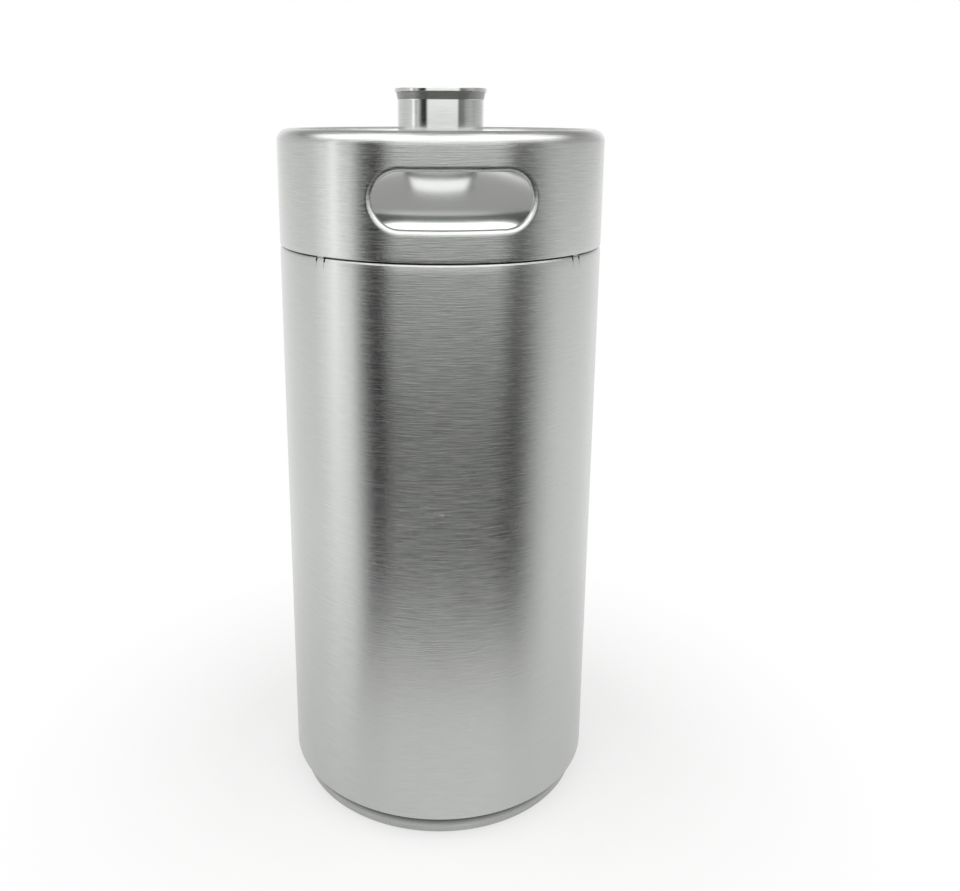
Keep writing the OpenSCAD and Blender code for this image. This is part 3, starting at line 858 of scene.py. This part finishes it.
def skirt_bead(name, node, end):
    """Fillet bead in the corner between the tube and a skirt that ends at the height end. Its
    face bows out a little and ripples most in its middle."""
    low, high = (BORE_R - 0.03, end - SEAM_BEAD + 0.05), (SKIRT_R - HEAD_T + 0.03, end)
    middle = ((low[0] + high[0]) / 2, (low[1] + high[1]) / 2)
    section = [(BORE_R, end)]
    for t in np.linspace(0, 1, 7):
        bow = math.sin(math.pi * t)
        section.append((low[0] + (high[0] - low[0]) * t + 0.03 * bow,
                        low[1] + (high[1] - low[1]) * t + 0.04 * bow))
    bead(name, section, node, 720, (1.5, 0.12, 0.10),
         lambda r, z: clamp(1.0 - math.dist((r, z), middle) / 0.6))


skirt_bead("top_skirt_bead", "top_head_weld", SEAM_Z - TOP_SKIRT)
skirt_bead("base_skirt_bead", "bottom_head_weld", BODY_LOW + SEAM_BEAD)


def foot_bead():
    """Bead in the corner between the foot ring's inside and the bottom head."""
    inner = FOOT_R - FOOT_LEAN - FOOT_T
    top = under_base(inner)
    section = [(x, min(z, under_base(x))) for x, z in arc(inner, top, FOOT_BEAD, 270, 140, 12)]
    section += [(x, under_base(x)) for x in np.linspace(section[-1][0], inner, 5)[1:]]

    def keep(r, z):
        clear = r < inner - 0.1 and z < under_base(r) - 0.15
        return float(clear and math.dist((r, z), (inner, top)) > 0.8 * FOOT_BEAD)

    bead("foot_ring_bead", section, "foot_ring_weld", 720, (1.5, 0.18, 0.10), keep)


foot_bead()


def neck_bead():
    """Bead in the wedge between the neck's flange and the top head; it creeps in under the flange."""
    under, lap = THREAD_R + 0.7, 0.01
    section = []
    for x, z in arc(FLANGE_R, dome_z(FLANGE_R), NECK_BEAD, 90, -10, 12):
        if z < dome_z(x):
            break
        section.append((max(x, FLANGE_R + 0.002), z))
    section += [(x, dome_z(x) + 0.004) for x in np.linspace(section[-1][0] + 0.02, under, 6)]
    section += [(under, NECK_SEAT - lap), (FLANGE_R, NECK_SEAT - lap)]
    bead("neck_bead", section, "neck_weld", 360, (5.0, -0.14, -0.06),
         lambda r, z: float(r > FLANGE_R + 0.25 and z > dome_z(r) + 0.15))


neck_bead()

# Steps across a tack weld and round it
TACK_ROWS, TACK_STEPS = 48, 16
# How far its face lies in at the least, and how much deeper in the middle of a puddle
TACK_SINK, TACK_PUDDLE = 0.05, 0.10
# The place across it, from 0 in its middle to 1, where its ends start to thin
TACK_END = 0.92


def tack_ring(middle, u):
    """Points round a tack weld at the place u across its three puddles, from -1 to 1."""
    half = math.degrees(TACK_W / 2 / BODY_R)
    puddle = TACK_PUDDLE * abs(math.sin(1.5 * math.pi * (u + 1)))
    end = max(0.0, (abs(u) - TACK_END) / (1 - TACK_END))
    points = []
    for k in range(TACK_STEPS + 1):
        v = 2 * math.pi * k / TACK_STEPS
        r = BODY_R - 0.02 - SHEET / 2 + 0.46 * SHEET * math.cos(v) * (1 - 0.5 * end)
        r -= (TACK_SINK + puddle) * max(0.0, math.cos(v))
        rise = max(-1.0, min(1.0, 1.4 * math.sin(v))) * (1 - 0.15 * end)
        points.append(on_wall(middle + u * half, r, (SEAM_Z + COLLAR_Z) / 2 + 0.498 * SEAM_GAP * rise))
    return points


def tack_welds():
    """Four short melted bridges across the slit between the tube and the collar."""
    shape = Shape()
    for middle in TACK_MIDDLES:
        rows = [tack_ring(middle, -1 + 2 * i / TACK_ROWS) for i in range(TACK_ROWS + 1)]
        shape.grid(rows)
        for row in (rows[0], rows[-1]):
            base = len(shape.verts)
            shape.verts.extend(row[:-1])
            shape.faces.append(tuple(range(base, base + TACK_STEPS)))
    mesh_piece("tack_beads", shape, "collar_tack_welds", [weld_steel])


tack_welds()

# Neck, cap and gasket

# Height between the points that draw a thread
THREAD_STEP = 0.15


def thread_form(t, z):
    """Rounded right-hand thread: 1 on the crest and 0 in the root, at angle t and height z."""
    from_middle = abs((z / PITCH - t / (2 * math.pi)) % 1.0 * 2 - 1)
    v = clamp((from_middle - 0.28) / 0.44)
    return v * v * (3 - 2 * v)


def neck_section(t):
    """The neck's closed outline at angle t: tail, flange, relief, thread, mouth and bore."""
    tail_end, flange_top, relief = NECK_SEAT - NECK_TAIL, NECK_SEAT + FLANGE_T, THREAD_R - NECK_RELIEF
    tail_edge, seat_edge, soft, fillet, beside = 0.2, 0.15, 0.5, 0.3, 0.05
    section = [(BORE_NECK, tail_end + tail_edge), (BORE_NECK + tail_edge, tail_end),
               (THREAD_R - tail_edge, tail_end), (THREAD_R, tail_end + tail_edge),
               (THREAD_R, NECK_SEAT - beside), (THREAD_R + 2 * beside, NECK_SEAT),
               (FLANGE_R - seat_edge, NECK_SEAT), (FLANGE_R, NECK_SEAT + seat_edge),
               (FLANGE_R, NECK_SEAT + soft), (FLANGE_R, flange_top - soft - 0.2)]
    section += arc(FLANGE_R - soft, flange_top - soft, soft, 0, 90, 5)
    section += [(FLANGE_R - soft - 0.3, flange_top), (relief + fillet + beside, flange_top)]
    section += arc(relief + fillet, flange_top + fillet, fillet, 270, 180, 4)
    for z in np.arange(flange_top + fillet + beside, MOUTH_Z - soft, THREAD_STEP):
        # the thread grows out of the relief and fades below the mouth
        grow = clamp((z - flange_top - 2.2) / 1.6)
        fade = clamp((MOUTH_Z - 0.4 - z) / 0.9)
        crest, root = relief + (THREAD_R - relief) * grow, relief - 0.15 * grow
        section.append((root + (crest - root) * thread_form(t, z) * fade, z))
    section += [(THREAD_R - 0.95, MOUTH_Z - 0.42), (THREAD_R - 1.0, MOUTH_Z - 0.1),
                (THREAD_R - 1.1, MOUTH_Z), (THREAD_R - 1.4, MOUTH_Z), (BORE_NECK + 0.7, MOUTH_Z)]
    section += arc(BORE_NECK + soft, MOUTH_Z - soft, soft, 90, 180, 5)
    return section + [(BORE_NECK, MOUTH_Z - 0.8), (BORE_NECK, NECK_SEAT + 10), (BORE_NECK, NECK_SEAT - 2)]


mesh_piece("threaded_neck", swept(neck_section, 180), "neck", [neck_painted_light_steel], sharp=50.0)


def cap_outside():
    """Outline of the cap from its lower edge up: side, flare, upright rim and crowned top."""
    rim = CAP_R + FLARE_OUT + RIM_OUT
    crown_r = (rim * rim + CAP_CROWN ** 2) / (2 * CAP_CROWN)
    start, foot, top, soft = 0.012, FLARE_LOW + 0.04, RIM_LOW - 0.12, 0.28
    outside = [(CAP_BORE + 0.62, CAP_LOW), (CAP_R - 0.72, CAP_LOW), (CAP_R - 0.6, CAP_LOW + 0.03),
               (CAP_R - 0.06, CAP_LOW + 0.55), (CAP_R, CAP_LOW + 0.75), (CAP_R, CAP_LOW + 1.2)]
    outside += [(CAP_R, z) for z in np.linspace(CAP_LOW + 2.5, FLARE_LOW - 0.6, 6)]
    outside += [(CAP_R, FLARE_LOW - 0.25), (CAP_R, FLARE_LOW - 0.05), (CAP_R + start, foot)]
    outside += [(CAP_R + start + (FLARE_OUT - 0.02) * t, foot + (top - foot) * t)
                for t in (0.06, 0.2, 0.4, 0.6, 0.8, 0.94, 1.0)]
    outside += [(rim - 0.58, RIM_LOW - 0.03), (rim - 0.12, RIM_LOW - 0.01), (rim - 0.03, RIM_LOW + 0.04),
                (rim, RIM_LOW + 0.14), (rim, RIM_LOW + 0.3), (rim, RIM_TOP - 0.55)]
    outside += arc(rim - soft, RIM_TOP - soft - 0.03, soft, 0, 84, 7)
    return outside + [(r, CAP_TOP - crown_r + math.sqrt(crown_r ** 2 - r * r) - 0.004)
                      for r in (18.6, 17.5, 15.0, 12.0, 9.0, 6.0, 3.0, 0.0)]


def cap():
    """Turned cap: one closed section whose inner thread climbs with the angle."""
    outside = cap_outside()
    lower, upper = CAP_LOW + 1.3, MOUTH_Z - 1.4
    roof = [(0.0, ROOF_Z), (6.0, ROOF_Z), (12.0, ROOF_Z), (GROOVE_R - 0.15, ROOF_Z),
            (GROOVE_R, ROOF_Z - 0.15), (GROOVE_R, MOUTH_Z - 0.1), (GROOVE_R - 0.1, MOUTH_Z - 0.2),
            (CAP_BORE + 0.05, MOUTH_Z - 0.2), (CAP_BORE, MOUTH_Z - 0.25), (CAP_BORE, MOUTH_Z - 1.3)]
    mouth = [(CAP_BORE + 0.06, CAP_LOW + 0.9), (CAP_BORE + 0.50, CAP_LOW + 0.06)]

    def section_at(t):
        thread = []
        for z in np.arange(upper, lower, -THREAD_STEP):
            # the thread grows in from both of its ends
            grow = clamp((z - lower - 0.1) / 1.2) * clamp(upper - 0.2 - z)
            thread.append((CAP_BORE - 0.12 * grow + 0.75 * grow * thread_form(t, z), z))
        return outside + roof + thread + mouth

    mesh_piece("screw_cap", swept(section_at, 240), "cap", [cap_steel, flare_painted_shade_steel],
               body="cap", sharp=9.0, choose=flare_side)


cap()


def gasket():
    """Flat ring with rounded edges; a point beside each rounding keeps the flat faces flat."""
    soft, beside = 0.35, 0.25
    inner, outer, low, high = GASKET_BORE + soft, GASKET_R - soft, MOUTH_Z + soft, ROOF_Z - soft
    section = []
    for r, z, start in ((inner, low, 180), (outer, low, 270), (outer, high, 0), (inner, high, 90)):
        edge = arc(r, z, soft, start, start + 90, 6)
        along, up = beside * math.cos(math.radians(start)), beside * math.sin(math.radians(start))
        before, after = (edge[0][0] + up, edge[0][1] - along), (edge[-1][0] - along, edge[-1][1] - up)
        section += [before, *edge, after]
    ring_piece("gasket_ring", section, "cap_gasket", silicone, 180, body="gasket")


gasket()

# View transform

bpy.context.scene.view_settings.view_transform = "Standard"
